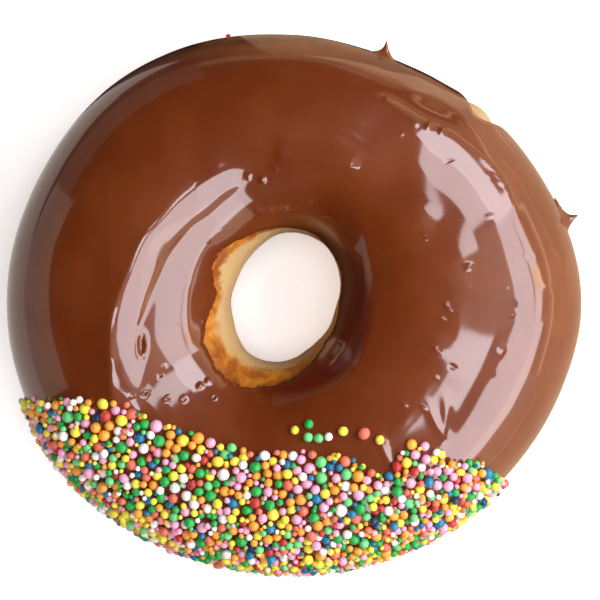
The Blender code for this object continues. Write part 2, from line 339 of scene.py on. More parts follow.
# Folds in the icing, SEEN, in millimetres.
FOLD_VALLEY = (
    (-24.9, -20.0), (-24.6, -13.3), (-24.3, -9.0), (-25.2, -4.8), (-24.5, -2.0), (-23.5, 0.9), (-22.0, 4.5),
    (-20.8, 7.3), (-19.0, 9.9), (-16.7, 12.6), (-13.9, 14.6), (-10.9, 17.2), (-8.1, 18.8), (-4.3, 19.0),
    (1.0, 20.3), (4.2, 19.7), (7.1, 18.9),
)
FOLD_BROW = (
    (-28.9, -21.0), (-29.3, -14.1), (-29.6, -5.6), (-28.8, -0.4), (-27.2, 4.2), (-24.6, 10.2),
    (-21.9, 13.3), (-18.2, 17.2), (-13.8, 20.4), (-9.8, 22.2), (-4.2, 22.2),
)
# How steeply the brow rises from the valley, and how far behind the brow it takes to fall away.
BROW_SLOPE = 0.3
BROW_FALL = 4.5 * MM
BROW_ROUNDING = 0.3 * MM
VALLEY_ROUNDING = 0.4 * MM
LEDGE_HEIGHT = 0.3 * MM
LEDGE_WIDTH = 0.45 * MM
TOP_CREASE = ((-3.7, 24.1), (0.0, 23.2), (3.2, 22.8), (6.4, 22.3), (10.9, 21.5))
CREASE_HOOK = ((-4.1, 22.9), (-3.5, 22.2), (-2.6, 21.1))
HOLE_BROW = ((-6.4, 15.0), (-5.2, 14.6), (-3.1, 14.1), (1.0, 14.6), (5.5, 13.0))
LEFT_CREASE = ((-29.8, 22.9), (-29.8, 8.5), (-29.6, -4.4), (-29.5, -17.3))
HOLE_LIP = (
    (9.6, 16.0), (11.3, 11.5), (11.8, 6.0), (11.8, 0.0), (11.5, -5.5), (10.3, -10.1), (8.2, -12.9),
    (5.0, -14.6), (1.0, -15.7), (-3.0, -15.6),
)
HOLE_SHOULDER = ((-16.7, -8.6), (-17.2, -2.8), (-17.1, 2.0), (-15.9, 6.5), (-13.8, 10.1), (-10.6, 12.9))
RAGGED_RIDGE = ((14.2, 32.9), (15.6, 31.6), (17.2, 30.4), (18.6, 29.4), (19.9, 28.4))
LIP_GROOVE = ((7.2, -6.0), (7.7, -6.8), (6.4, -8.6), (5.1, -10.5))
DRIPS = (
    ((21.6, -14.9), (22.1, -17.3), (22.9, -19.7), (24.0, -21.8), (25.0, -23.3)),
    ((24.5, -13.3), (24.6, -16.5), (24.4, -19.7), (24.9, -22.9)),
    ((13.0, -19.3), (14.7, -24.6), (16.7, -30.2)),
)
RIM_RIPPLES = (
    ((15.8, 38.1), (18.7, 36.8), (21.9, 35.8), (25.1, 33.9), (28.3, 31.3)),
    ((15.5, 35.8), (18.7, 34.2), (23.5, 32.6), (27.5, 29.4), (31.6, 24.6), (34.8, 19.7)),
    ((28.0, 27.4), (30.8, 23.5), (34.1, 19.6), (35.3, 15.7), (36.4, 12.1)),
    ((41.2, 14.7), (42.6, 10.8), (43.4, 6.9), (43.6, 1.1)),
)
FAR_SWELL = ((19.0, 33.0), (19.8, 25.0), (20.2, 18.0), (19.6, 10.5))
# Each ridge: its line, the shares of it that fade in and out, its height and its width in millimetres.
RIDGES = (
    (TOP_CREASE, 0.12, 0.12, 0.09, 0.28),
    (TOP_CREASE, 0.12, 0.12, 0.22, 1.6),
    (CREASE_HOOK, 0.12, 0.12, 0.08, 0.35),
    (HOLE_BROW, 0.12, 0.12, 0.08, 0.6),
    (LEFT_CREASE, 0.12, 0.12, 0.04, 0.4),
    (LIP_GROOVE, 0.3, 0.3, -0.3, 0.45),
    (FAR_SWELL, 0.25, 0.25, 0.2, 3.2),
    *((line, 0.5, 0.1, 0.08, 0.7) for line in DRIPS),
    *((line, 0.3, 0.3, 0.13, 0.7) for line in RIM_RIPPLES),
)
# Each swell by the hole: its line, the share that fades at each end, its height, and its widths on the left
# and the right of the line, in millimetres.
SWELLS = (
    (HOLE_LIP, 0.2, 0.45, 4, 1.8),
    (HOLE_SHOULDER, 0.25, 0.35, 9, 2),
)
RAGGED_RIDGE_HEIGHT = 0.05 * MM
RAGGED_RIDGE_WIDTH = 0.6 * MM

# Small marks in the icing, SEEN: place in millimetres, then radius and height.
CRATER = (-24.6, -6.9)
CRATER_LENGTH = 2.0 * MM
CRATER_WIDTH = 0.75 * MM
CRATER_RIM = 0.14 * MM
CRATER_DEPTH = 0.5 * MM
BURST_BUBBLES = (
    (-24.0, -14.6, 0.45, 0.12), (-20.3, -15.5, 0.35, 0.1), (-17.7, -15.6, 0.35, 0.1),
    (-12.9, -15.3, 0.35, 0.1), (20.8, 10.4, 0.4, 0.1),
)
SWELLINGS = (
    (21.1, 1.6, 0.45, 0.16), (21.9, 1.2, 0.35, 0.12), (24.4, -0.2, 0.5, 0.18), (24.9, -1.0, 0.4, 0.14),
    (23.7, -2.5, 0.5, 0.16), (22.7, -7.4, 0.5, 0.17), (23.2, -7.9, 0.35, 0.12), (20.9, -17.1, 0.45, 0.14),
    (18.3, 12.2, 6.0, 0.25), (22.0, -7.5, 4.0, 0.1), (34.3, -8.0, 1.8, 0.16), (28.2, 5.7, 0.9, 0.12),
    (23.8, 27.5, 0.7, 0.2), (21.6, 28.3, 0.7, 0.2), (31.4, 20.4, 0.4, 0.07), (33.6, 19.2, 0.5, 0.09),
    (33.7, 2.3, 0.6, 0.1), (31.7, 2.9, 0.5, 0.05), (28.6, 2.3, 0.5, 0.05), (40.8, 2.6, 0.8, 0.05),
    (36.3, -0.1, 0.6, 0.15), (35.8, -1.9, 0.8, 0.18), (22.6, -12.0, 0.4, 0.08), (32.7, -12.0, 0.5, 0.1),
    (17.7, -16.4, 0.5, 0.1), (-7.4, 35.6, 0.5, 0.05), (-11.5, 30.4, 0.6, 0.07), (-1.1, 26.8, 0.5, 0.06),
    (11.7, 33.2, 0.4, 0.05), (17.3, 27.2, 0.4, 0.1), (8.7, 18.3, 0.6, 0.1), (16.7, 17.8, 0.6, 0.08),
    (9.9, 15.3, 0.5, 0.08), (2.5, 16.4, 0.6, 0.1), (-1.7, 14.7, 0.4, 0.06), (-5.2, 19.8, 0.9, 0.22),
    (-7.4, 20.4, 0.7, 0.14), (-25.3, 35.3, 0.4, 0.05), (-29.3, 31.9, 0.4, 0.05), (-32.5, 22.4, 0.6, 0.08),
    (-24.9, 21.3, 0.8, 0.05), (-32.1, 13.3, 0.5, 0.07), (-14.0, 10.1, 0.6, 0.1), (-25.9, -15.0, 0.6, 0.1),
    (-15.1, -13.4, 0.7, 0.15), (-19.2, -3.6, 0.5, 0.08), (-13.7, -3.4, 1.3, 0.3), (-20.9, -10.3, 0.5, 0.1),
    (-13.7, -12.6, 0.8, 0.1),
)
PITS = (
    (24.9, 22.9, 0.5, 0.12), (31.7, 14.0, 0.35, 0.06), (34.1, 16.2, 0.35, 0.06), (37.8, 7.4, 0.6, 0.1),
    (25.6, -10.4, 0.5, 0.1), (-21.6, -11.7, 0.6, 0.12), (-37.1, 15.9, 0.4, 0.06), (-42.2, 14.0, 0.4, 0.06),
)
SLOW_WAVE_SIZE = 13 * MM
SLOW_WAVE_HEIGHT = 0.1 * MM
FINE_WAVE_SIZE = 4.5 * MM
FINE_WAVE_HEIGHT = 0.02 * MM


def folds(place):
    """The icing's folds: a brow that rises from a valley round the left of the hole, with finer ridges."""
    from_valley, along = beside(place, FOLD_VALLEY)
    ledge = fading(along, 0.25, 0.15) * LEDGE_HEIGHT * (0.5 + 0.5 * np.tanh(from_valley / LEDGE_WIDTH))
    past_brow, along = beside(place, FOLD_BROW)
    up_the_brow = soft_clip(from_valley, VALLEY_ROUNDING)
    beyond = soft_clip(past_brow, BROW_ROUNDING)
    slope = BROW_SLOPE * (1 - 0.5 * smooth(0.5, 0.8, along))
    raised = fading(along, 0.12, 0.2) * (ledge + slope * (up_the_brow - beyond)) * np.exp(-beyond / BROW_FALL)
    for line, fade_in, fade_out, height, width in RIDGES:
        off, along = beside(place, line)
        raised += fading(along, fade_in, fade_out) * height * MM * ridge(off, width * MM)
    for line, fade, height, left_width, right_width in SWELLS:
        off, along = beside(place, line)
        raised += fading(along, fade, fade) * height * MM * tent(off, left_width * MM, right_width * MM)
    off, along = beside(place, RAGGED_RIDGE)
    torn = 0.85 + 0.2 * np.sin(along * 31) + 0.15 * np.sin(along * 53 + 1)
    raised += fading(along, 0.1, 0.05) * RAGGED_RIDGE_HEIGHT * torn * ridge(off, RAGGED_RIDGE_WIDTH)
    return raised


def marks(place):
    """Burst bubbles, swellings and pits in the icing."""
    raised = np.zeros(place.shape[:-1])
    for x, y, radius, height in BURST_BUBBLES:
        raised += height * MM * burst_bubble(place, (x, y), radius * MM)
    for x, y, radius, height in SWELLINGS:
        raised += height * MM * dome(place, (x, y), radius * MM)
    for x, y, radius, depth in PITS:
        raised -= depth * MM * dome(place, (x, y), radius * MM)
    off = place - np.array(CRATER) * MM
    apart = np.hypot(off[..., 0] / CRATER_WIDTH, off[..., 1] / CRATER_LENGTH)
    raised += CRATER_RIM * np.exp(-(((apart - 1) / 0.4) ** 2))
    return raised - CRATER_DEPTH * np.clip(1 - (apart / 0.9) ** 2, 0, 1)


def icing_relief(points):
    """How far the icing's surface stands above its plain form."""
    place = seen(points)
    slow = SLOW_WAVE_HEIGHT * waves(points, SLOW_WAVE_SIZE, 1)
    fine = FINE_WAVE_HEIGHT * waves(points, FINE_WAVE_SIZE, 2)
    return slow + fine + folds(place) + marks(place)


# The fine meshes of the icing and the dough.
ICING_COLUMNS = 640
ICING_ROWS = 136
# How much closer the rows of faces lie on the side of the hole, where the folds are.
ROWS_INWARD = 0.4
LIP_ROWS = 8
LIP_SHARE = 0.035
ICING_FOOT_ROWS = 6
ICING_SINK = -0.2 * MM
# How far from its edges the icing's folds and marks fade in.
RELIEF_FADE = 1.6 * MM
# The stretch of the ring where the icing's inner edge is torn, and how deep its teeth are.
RAGGED_FROM = math.radians(140)
RAGGED_TO = math.radians(300)
RAGGED_FADE = 0.3
RAGGED_DEPTH = 0.42 * MM
WAVY_RIM = math.radians(1.4)
# How far the fine dough runs on under the icing's edges.
ICING_OVERLAP = 0.9 * MM
CRAG_HEIGHT = 0.5 * MM
# How far the dough lies below its plain form where the icing covers it.
UNDER_ICING = 0.5 * MM
DOUGH_COLUMNS = 480
DOUGH_COVERED_ROWS = 16
DOUGH_BARE_ROWS = 130


def tube(name, rings):
    """A closed, smooth-shaded tube from rings[k][i]: ring k of the section, point i round the doughnut."""
    rings = np.array(rings)
    rows, columns = rings.shape[:2]
    number = np.arange(rows * columns).reshape(rows, columns)
    after, above = np.roll(number, -1, axis=1), np.roll(number, -1, axis=0)
    faces = np.stack([number, after, np.roll(above, -1, axis=1), above], axis=-1).reshape(-1, 4)
    data = bpy.data.meshes.new(name)
    data.from_pydata(rings.reshape(-1, 3).tolist(), [], faces.tolist())
    mesh = bmesh.new()
    mesh.from_mesh(data)
    bmesh.ops.recalc_face_normals(mesh, faces=mesh.faces)
    mesh.to_mesh(data)
    mesh.free()
    data.shade_smooth()
    return put(name, data)


def torn(theta):
    """1 where the icing's inner edge is torn, on the left and near side of the hole, and 0 elsewhere."""
    after_start = smooth(RAGGED_FROM - RAGGED_FADE, RAGGED_FROM, theta)
    return after_start * smooth(RAGGED_TO + RAGGED_FADE, RAGGED_TO, theta)


def unit_circle(theta):
    return np.stack([np.cos(theta), np.sin(theta), 0 * theta], axis=-1)


def ragged(theta):
    """How far crags of dough push the icing's inner edge back."""
    ring = unit_circle(theta)
    teeth = waves(ring, 0.16, 5) + 0.7 * waves(ring, 0.07, 6) + 0.4 * waves(ring, 0.035, 7)
    return RAGGED_DEPTH * (0.25 + 0.75 * torn(theta)) * teeth


def icing_edges(theta):
    """The icing's outer and inner edge with all their unevenness."""
    outer = outer_edge(theta) + WAVY_RIM * waves(unit_circle(theta), 0.09, 8)
    return outer, inner_edge(theta) + ragged(theta) / EQUATOR_HEIGHT


def chocolate_icing():
    """The icing: a smooth poured skin with folds and bubbles, whose lips lie on the dough."""
    theta = np.arange(ICING_COLUMNS) / ICING_COLUMNS * TURN
    outer, inner = icing_edges(theta)
    lip = LIP_SHARE * (1 - np.cos(np.arange(LIP_ROWS) / LIP_ROWS * math.pi / 2))
    even = np.linspace(0, 1, ICING_ROWS - 2 * LIP_ROWS)
    closer = even + ROWS_INWARD * np.sin(even * math.pi) / math.pi
    shares = np.concatenate([lip, LIP_SHARE + (1 - 2 * LIP_SHARE) * closer, 1 - lip[::-1]])
    phi = outer + (inner - outer) * shares[:, None]
    ring = np.broadcast_to(theta, phi.shape)
    thick = icing_thickness(phi) + ICING_GAP
    from_edge = np.minimum(phi - outer, inner - phi) * EQUATOR_HEIGHT
    roundness = np.sqrt(1 - (1 - np.clip(from_edge / LIP_WIDTH, 0, 1)) ** 2)
    plain = skin(ring, phi, thick * roundness)
    relief = icing_relief(plain) * smooth(0, RELIEF_FADE, from_edge)
    top = skin(ring, phi, thick * roundness + relief)
    under = [
        skin(theta, inner + (outer - inner) * share, ICING_SINK)
        for share in np.linspace(0.01, 0.99, ICING_FOOT_ROWS)
    ]
    return tube("chocolate_icing_coat", [*top, *under])


def dough_relief(points, by_edge, covered):
    """The crust's unevenness: soft dimples, fine wrinkles, and crags by the icing's inner edge."""
    relief = 0.09 * MM * waves(points, 5 * MM, 11) + 0.05 * MM * waves(points, 1.7 * MM, 12)
    relief += 0.03 * MM * waves(points, 0.7 * MM, 13)
    crags = np.clip(waves(points, 1.1 * MM, 14) + 0.5 * waves(points, 0.55 * MM, 15) + 0.25, 0, 1)
    relief += CRAG_HEIGHT * crags * by_edge
    return np.where(covered, -UNDER_ICING, relief)


def dough_ring():
    """The fried dough."""
    theta = np.arange(DOUGH_COLUMNS) / DOUGH_COLUMNS * TURN
    outer, inner = icing_edges(theta)
    tuck = ICING_OVERLAP / EQUATOR_HEIGHT
    start, end = outer + tuck, inner - tuck
    covered_shares = np.arange(DOUGH_COVERED_ROWS) / DOUGH_COVERED_ROWS
    bare_shares = np.arange(DOUGH_BARE_ROWS) / DOUGH_BARE_ROWS
    rows = [start + (end - start) * share for share in covered_shares]
    rows += [end + (start + TURN - end) * share for share in bare_shares]
    phi = np.array(rows)
    ring = np.broadcast_to(theta, phi.shape)
    plain = skin(ring, phi)
    past_inner = (phi - inner) * EQUATOR_HEIGHT
    by_edge = smooth(2.2 * MM, 0.3 * MM, past_inner) * (0.2 + 0.8 * torn(theta)) * (phi > inner - tuck)
    relief = dough_relief(plain, by_edge, (phi > start) & (phi < end))
    resting = smooth(0.4 * MM, 1.6 * MM, plain[..., 2])
    shaped = skin(ring, phi, relief * resting)
    shaped[..., 2] = np.maximum(shaped[..., 2], 0)
    made = tube("fried_dough", shaped)
    past_icing = made.data.attributes.new("past_icing", "FLOAT", "POINT")
    past_icing.data.foreach_set("value", past_inner.ravel().astype(np.float32))
    return made


# The peaks pulled out of the soft icing: ring angle, section angle, how far the tip leans, and thickness.
PEAKS = (
    (math.radians(70.0), math.radians(16), 0.6 * MM, 1.15),
    (math.radians(16.8), math.radians(8), 0.4 * MM, 1.5),
)
# A peak's outline: height above the icing, and radius there.
PEAK_OUTLINE = (
    (-0.6, 2.6), (-0.25, 2.2), (0.0, 1.7), (0.35, 1.1), (0.75, 0.72), (1.15, 0.46), (1.6, 0.28), (2.0, 0.17),
    (2.25, 0.1), (2.38, 0.04),
)
PEAK_SIDES = 24
PEAK_FLATTENED = 0.75


def pulled_peaks():
    """Thorns with hollow flanks and a leaning tip, that stand out of the icing's side."""
    peak = bmesh.new()
    for theta, phi, lean, thickness in PEAKS:
        foot = Vector(skin(theta, phi, float(icing_lift(np.array(theta), phi))))
        out = (foot - Vector(skin(theta, phi))).normalized()
        side = Vector((0, 0, 1)).cross(out).normalized()
        up = out.cross(side)
        tip_height = PEAK_OUTLINE[-1][0]
        rings = []
        for height, radius in PEAK_OUTLINE:
            rise = max(height / tip_height, 0)
            middle = foot + out * height * MM + side * lean * rise**2
            ring = []
            for k in range(PEAK_SIDES):
                turn = k / PEAK_SIDES * TURN
                wide = thickness * radius * MM * (1 + 0.12 * math.sin(3 * turn + 5 * theta) * (1 - rise))
                across = side * math.cos(turn) + up * math.sin(turn) * PEAK_FLATTENED
                ring.append(peak.verts.new(middle + wide * across))
            rings.append(ring)
        for low, high in zip(rings, rings[1:]):
            for k in range(PEAK_SIDES):
                after = (k + 1) % PEAK_SIDES
                peak.faces.new((low[k], low[after], high[after], high[k]))
        peak.faces.new(rings[0][::-1])
        peak.faces.new(rings[-1])
    bmesh.ops.recalc_face_normals(peak, faces=peak.faces)
    data = bpy.data.meshes.new("icing_peaks")
    peak.to_mesh(data)
    peak.free()
    data.shade_smooth()
    return put("icing_peaks", data)


# The rest of the sugar balls fall on the icing and on each other, smaller and smaller, where they find rest.
FALLING_BALLS = 60000
FALLING_SIZES = (0.86 * MM, 0.36 * MM)
MOST_BALLS = 2400
SMALLER_AT_RIM = 0.82
LARGER_INWARDS = 1.15
SIZE_SPREAD = (0.85, 1.12)
EDGE_SPREAD = (0.2, 2.0)
BALL_TOUCH = 0.97
RESTING_LIFT = (0.05, 0.62)
HIGHEST_REST = 1.02 * MM
FALLING_SHARES = (0.008, 0.82)
BALL_ROUNDNESS = 0.07
BALL_FACES_STEP = 2

# Each kind of sugar ball: its colour, and its share of them all.
BALL_KINDS = {
    "pink": ((0.84, 0.36, 0.52), 0.18),
    "white": ((0.92, 0.86, 0.83), 0.115),
    "yellow": ((0.88, 0.74, 0.06), 0.175),
    "orange": ((0.86, 0.34, 0.04), 0.15),
    "coral": ((0.74, 0.15, 0.09), 0.09),
    "red": ((0.45, 0.03, 0.025), 0.035),
    "green": ((0.012, 0.36, 0.06), 0.125),
    "leaf_green": ((0.14, 0.60, 0.20), 0.07),
    "teal": ((0.004, 0.17, 0.32), 0.08),
    # Painted shade: a darker copy of the teal balls, standing for teal balls in shade.
    "navy": ((0.004, 0.035, 0.10), 0.006),
}
# The colours of the stray balls, in their own order.
STRAY_COLOURS = ("yellow", "green", "leaf_green", "leaf_green", "white", "yellow", "coral", "yellow")
# The red speck on the far rim: ring angle, share of the way in, and radius.
SPECK = (math.radians(103.9), 0.06, 0.42 * MM)


def below_dipped_edge(point):
    """How far a point lies inside the dipped side, from above; negative outside it."""
    x, y = point[:2] - RING_CENTRE
    return -np.interp(x, DIPPED_EDGE_ACROSS, DIPPED_EDGE_DOWN) - y


def room_at(theta, phi):
    """The skin's area for each unit of theta and phi, so that balls fall evenly on it."""
    corner = skin(theta, phi)
    along = skin(theta + SLOPE_STEP, phi) - corner
    over = skin(theta, phi + SLOPE_STEP) - corner
    return np.linalg.norm(np.cross(along, over), axis=-1) / SLOPE_STEP**2


def covered(theta, share):
    """phi at a share of the way from the icing's outer edge to its inner edge."""
    outer, inner = outer_edge(theta), inner_edge(theta)
    return outer + (inner - outer) * share


def pressed_in(theta, share, radius):
    """The middle of one ball that is pressed into the icing, and phi there."""
    phi = float(covered(np.array(theta), share))
    return skin(theta, phi, icing_lift(np.array(theta), phi) + BALL_LIFT * radius), phi


def large_ball_places():
    """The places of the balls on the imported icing, by the same seeded draws: middles and radii."""
    draw = random.Random(BALL_SEED)
    middles = np.array([pressed_in(*ball)[0] for ball in STRAY_BALLS])
    radii = np.array([radius for theta, share, radius in STRAY_BALLS])
    while len(radii) < LARGE_BALLS:
        smallness = 1 - (1 - len(radii) / LARGE_BALLS) ** 2
        radius = LARGEST_BALL_RADIUS + (SMALLEST_LARGE_RADIUS - LARGEST_BALL_RADIUS) * smallness
        theta = draw.uniform(DIPPED_FROM, DIPPED_TO)
        share = draw.uniform(*DIPPED_SHARES)
        keep = draw.random()
        middle, phi = pressed_in(theta, share, radius)
        if keep > room_at(theta, phi) / MOST_ROOM or below_dipped_edge(middle) < radius:
            continue
        apart = np.linalg.norm(middles - middle, axis=1)
        if (apart < BALL_SPACING * (radii + radius)).any():
            continue
        middles, radii = np.vstack([middles, middle]), np.append(radii, radius)
    return middles, radii


def ball_places():
    """The large balls, the rest, each at the lowest height where it clears the others, and the speck."""
    middles, radii = large_ball_places()
    draw = np.random.default_rng(BALL_SEED)
    theta = draw.uniform(DIPPED_FROM, DIPPED_TO, FALLING_BALLS)
    share = draw.uniform(*FALLING_SHARES, FALLING_BALLS)
    keep = draw.random(FALLING_BALLS)
    phi = covered(theta, share)
    largest, smallest = FALLING_SIZES
    radius = smallest + (largest - smallest) * (1 - np.arange(FALLING_BALLS) / FALLING_BALLS) ** 1.3
    larger = SMALLER_AT_RIM + (LARGER_INWARDS - SMALLER_AT_RIM) * share
    radius *= draw.uniform(*SIZE_SPREAD, FALLING_BALLS) * larger
    ground = skin(theta, phi, icing_lift(theta, phi))
    upwards = skin(theta, phi, icing_lift(theta, phi) + MM) - ground
    upwards /= np.linalg.norm(upwards, axis=-1, keepdims=True)
    lift = radius * draw.uniform(*RESTING_LIFT, FALLING_BALLS)
    inside = np.array([below_dipped_edge(point) for point in ground])
    deep_enough = inside > radius * draw.uniform(*EDGE_SPREAD, FALLING_BALLS)
    fits = (keep < room_at(theta, phi) / MOST_ROOM) & deep_enough
    spots = np.vstack([middles, np.zeros((MOST_BALLS - len(radii), 3))])
    sizes = np.append(radii, np.zeros(MOST_BALLS - len(radii)))
    count = len(radii)
    for k in np.flatnonzero(fits):
        off = spots[:count] - ground[k]
        along = off @ upwards[k]
        aside = (off**2).sum(axis=1) - along**2
        reach = (BALL_TOUCH * (sizes[:count] + radius[k])) ** 2 - aside
        blocking = reach > 0
        clear = along[blocking] + np.sqrt(reach[blocking])
        height = max(lift[k], clear.max(initial=0))
        if height > HIGHEST_REST:
            continue
        spots[count], sizes[count] = ground[k] + height * upwards[k], radius[k]
        count += 1
        if count == MOST_BALLS:
            break
    speck, phi = pressed_in(*SPECK)
    return np.vstack([spots[:count], speck]), np.append(sizes[:count], SPECK[-1])


def ball_tree(name, finish):
    """Geometry Nodes that put a slightly uneven sugar ball on each point of a mesh."""
    tree = bpy.data.node_groups.new(name, "GeometryNodeTree")
    face = tree.interface
    face.new_socket("Geometry", in_out="INPUT", socket_type="NodeSocketGeometry")
    uneven = face.new_socket("Unevenness", in_out="INPUT", socket_type="NodeSocketFloat")
    seed = face.new_socket("Seed", in_out="INPUT", socket_type="NodeSocketInt")
    face.new_socket("Geometry", in_out="OUTPUT", socket_type="NodeSocketGeometry")

    def node(kind, settings=None, sockets=None):
        made = tree.nodes.new(kind)
        for key, value in (settings or {}).items():
            setattr(made, key, value)
        for key, value in (sockets or {}).items():
            if isinstance(value, bpy.types.NodeSocket):
                tree.links.new(value, made.inputs[key])
            else:
                made.inputs[key].default_value = value
        return made.outputs

    def random_value(kind, out, sockets):
        return node("FunctionNodeRandomValue", {"data_type": kind}, {**sockets, "Seed": given["Seed"]})[out]

    given = node("NodeGroupInput")
    ball = node("GeometryNodeMeshIcoSphere", None, {"Radius": 1.0, "Subdivisions": BALL_FACES_STEP})
    radius = node("GeometryNodeInputNamedAttribute", {"data_type": "FLOAT"}, {"Name": "radius"})
    least = node("ShaderNodeMath", {"operation": "SUBTRACT"}, {0: 1, 1: given["Unevenness"]})
    most = node("ShaderNodeMath", {"operation": "ADD"}, {0: 1, 1: given["Unevenness"]})
    stretch = random_value("FLOAT_VECTOR", 0, {0: least[0], 1: most[0]})
    size = node("ShaderNodeVectorMath", {"operation": "SCALE"}, {0: stretch, "Scale": radius["Attribute"]})
    turn = random_value("FLOAT_VECTOR", 0, {1: (TURN, TURN, TURN)})
    at_points = {"Points": given["Geometry"], "Instance": ball["Mesh"], "Rotation": turn}
    placed = node("GeometryNodeInstanceOnPoints", None, {**at_points, "Scale": size["Vector"]})
    for_each_ball = {"data_type": "FLOAT", "domain": "INSTANCE"}
    tone = {"Geometry": placed["Instances"], "Name": "tone", "Value": random_value("FLOAT", 1, {})}
    toned = node("GeometryNodeStoreNamedAttribute", for_each_ball, tone)
    real = node("GeometryNodeRealizeInstances", None, {"Geometry": toned["Geometry"]})
    smoothed = node("GeometryNodeSetShadeSmooth", None, {"Geometry": real["Geometry"]})
    painted = node("GeometryNodeSetMaterial", None, {"Geometry": smoothed["Geometry"], "Material": finish})
    node("NodeGroupOutput", None, {"Geometry": painted["Geometry"]})
    return tree, {"uneven": uneven.identifier, "seed": seed.identifier}


def scatter(name, middles, radii, finish, seed):
    """One piece of sugar balls with these middles and radii."""
    points = bpy.data.meshes.new(name)
    points.from_pydata([tuple(middle) for middle in middles], [], [])
    sizes = points.attributes.new("radius", "FLOAT", "POINT")
    sizes.data.foreach_set("value", np.array(radii, np.float32))
    holder = put(name, points)
    tree, sockets = ball_tree(name + "_rule", finish)
    rule = holder.modifiers.new("balls", "NODES")
    rule.node_group = tree
    rule[sockets["uneven"]] = BALL_ROUNDNESS
    rule[sockets["seed"]] = seed
    bpy.context.view_layer.update()
    evaluated = holder.evaluated_get(bpy.context.evaluated_depsgraph_get())
    made = bpy.data.meshes.new_from_object(evaluated)
    made.name = name
    holder.modifiers.clear()
    holder.data = made
    return holder


def sugar_balls(finishes):
    """All the balls, one piece for each colour."""
    middles, radii = ball_places()
    draw = random.Random(BALL_SEED + 2)
    names = list(BALL_KINDS)
    shares = [share for tint, share in BALL_KINDS.values()]
    kinds = np.array(draw.choices(range(len(names)), weights=shares, k=len(radii)))
    kinds[: len(STRAY_COLOURS)] = [names.index(name) for name in STRAY_COLOURS]
    kinds[-1] = names.index("red")
    pieces = []
    for number, name in enumerate(names):
        chosen = kinds == number
        pieces.append(scatter(f"sugar_balls_{name}", middles[chosen], radii[chosen], finishes[name], number))
    return pieces


class Value:
    """A number from a material's node. Sums and products of values add the nodes that work them out."""

    def __init__(self, finish, socket):
        self.finish = finish
        self.socket = socket

    def _worked(self, operation, first, second):
        return self.finish.node("ShaderNodeMath", {"operation": operation}, {0: first, 1: second})

    def __add__(self, other):
        return self._worked("ADD", self, other)

    def __radd__(self, other):
        return self._worked("ADD", other, self)

    def __sub__(self, other):
        return self._worked("SUBTRACT", self, other)

    def __rsub__(self, other):
        return self._worked("SUBTRACT", other, self)

    def __mul__(self, other):
        return self._worked("MULTIPLY", self, other)

    def __rmul__(self, other):
        return self._worked("MULTIPLY", other, self)

    def __pow__(self, other):
        return self._worked("POWER", self, other)

    def step(self, low, high):
        """0 where this is below low, 1 above high, and a soft step between."""
        settings = {"interpolation_type": "SMOOTHSTEP"}
        return self.finish.node("ShaderNodeMapRange", settings, {"Value": self, 1: low, 2: high})


class Finish:
    """One material: a Principled shader, and the nodes that make its pattern."""

    def __init__(self, name, **fixed):
        self.material = bpy.data.materials.new(name)
        self.material.use_nodes = True
        self.tree = self.material.node_tree
        self.shader = self.tree.nodes["Principled BSDF"]
        for key, value in fixed.items():
            self.shader.inputs[key.replace("_", " ")].default_value = value
        self.place = self.node("ShaderNodeTexCoord", out="Object")

    def node(self, kind, settings=None, sockets=None, out=0):
        """Any node: its settings are set first, then its sockets take values or links."""
        made = self.tree.nodes.new(kind)
        for key, value in (settings or {}).items():
            setattr(made, key, value)
        for key, value in (sockets or {}).items():
            if isinstance(value, Value):
                self.tree.links.new(value.socket, made.inputs[key])
            else:
                made.inputs[key].default_value = value
        return Value(self, made.outputs[out])

    def mix(self, share, first, second):
        """The first colour where share is 0, the second where it is 1."""
        return self.node("ShaderNodeMix", {"data_type": "RGBA"}, {0: share, 6: first, 7: second}, out=2)

    def noise(self, size, detail=2.0, rough=0.5, warp=0.0):
        """Smooth random unevenness from 0 to 1, whose bumps are size metres wide."""
        sockets = {"Vector": self.place, "Scale": 1 / size, "Detail": detail, "Roughness": rough}
        return self.node("ShaderNodeTexNoise", None, {**sockets, "Distortion": warp}, out="Fac")

    def part(self, axis):
        """A point's X, Y or Z, in metres."""
        return self.node("ShaderNodeSeparateXYZ", None, {0: self.place}, out=axis)

    def attribute(self, name):
        """A number that the mesh itself holds."""
        return self.node("ShaderNodeAttribute", {"attribute_name": name}, out="Fac")

    def away_from(self, middle):
        """Distance from an upright line through middle."""
        across = self.part("X") - float(middle[0])
        along = self.part("Y") - float(middle[1])
        return (across * across + along * along) ** 0.5

    def off_diagonal(self, middle):
        """How far a point lies towards the near right, from above."""
        return (self.part("X") - float(middle[0])) - (self.part("Y") - float(middle[1]))

    def feed(self, socket, value):
        """Lead a value into one of the shader's sockets."""
        self.tree.links.new(value.socket, self.shader.inputs[socket])

    def bump(self, height, distance, strength=1.0):
        """Fine relief: height runs from 0 to 1 over distance metres."""
        sockets = {"Height": height, "Distance": distance, "Strength": strength}
        self.feed("Normal", self.node("ShaderNodeBump", None, sockets, out="Normal"))


def colour(red, green, blue):
    return (red, green, blue, 1)


MILK_CHOCOLATE = colour(0.108, 0.0185, 0.0018)
CHOCOLATE_LIGHT = colour(0.128, 0.026, 0.004)
THIN_CHOCOLATE = colour(0.24, 0.08, 0.010)
# Painted shade: a darker chocolate for the hole's lip, standing in for the shade that falls there.
PAINTED_SHADE_CHOCOLATE = colour(0.075, 0.007, 0.0006)
# From here on the icing may be thin, on the far rim.
THIN_FROM = (38 * MM, 43 * MM)
# The hole's lip on its right and near side, dull and darkened with painted shade: its middle and soft edges,
# from above.
LIP_MIDDLE = (-1.4 * MM, -0.7 * MM)
LIP_EDGE = (12.6 * MM, 14.4 * MM)
LIP_SIDE = (-13 * MM, -4 * MM)
LIP_DULLNESS = 0.92
# A groove in that lip still shines: its middle and soft edge.
GROOVE_MIDDLE = (6.3 * MM, -7.7 * MM)
GROOVE_EDGE = (2 * MM, 3 * MM)


